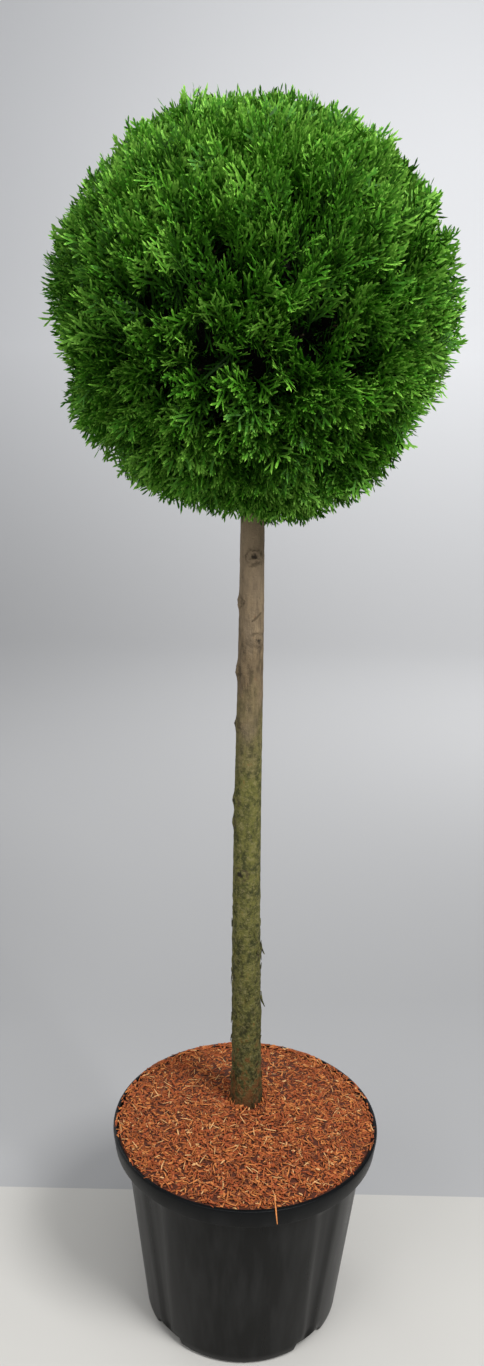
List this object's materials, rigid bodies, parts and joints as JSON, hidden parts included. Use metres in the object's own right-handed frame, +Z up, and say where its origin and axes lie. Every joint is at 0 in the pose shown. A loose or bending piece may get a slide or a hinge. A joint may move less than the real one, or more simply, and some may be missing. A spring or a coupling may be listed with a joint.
{
  "type": "standard lollipop topiary in a pot",
  "caption": "Clipped ball of flat evergreen conifer sprays on a tall bare stem, standing in a round black nursery pot topped with shredded bark.",
  "frame": {"origin": "centre of the pot's flat underside", "axes": "+Z up along the stem, front towards -Y, the side that the picture shows"},
  "size_m": [0.4283, 0.4392, 1.4169],
  "materials": {
    "pot": "matte black moulded plastic",
    "root_ball": "moist potting soil",
    "bark_mulch": "shredded red-brown bark",
    "trunk": "grey-brown bark, green with algae lower down",
    "crown": "vivid green scale-leaved sprays"
  },
  "bodies": {
    "root": {"pot": "pot", "root_ball": "root_ball", "bark_mulch": "bark_mulch", "trunk": "trunk", "crown": "crown"}
  },
  "joints": []
}
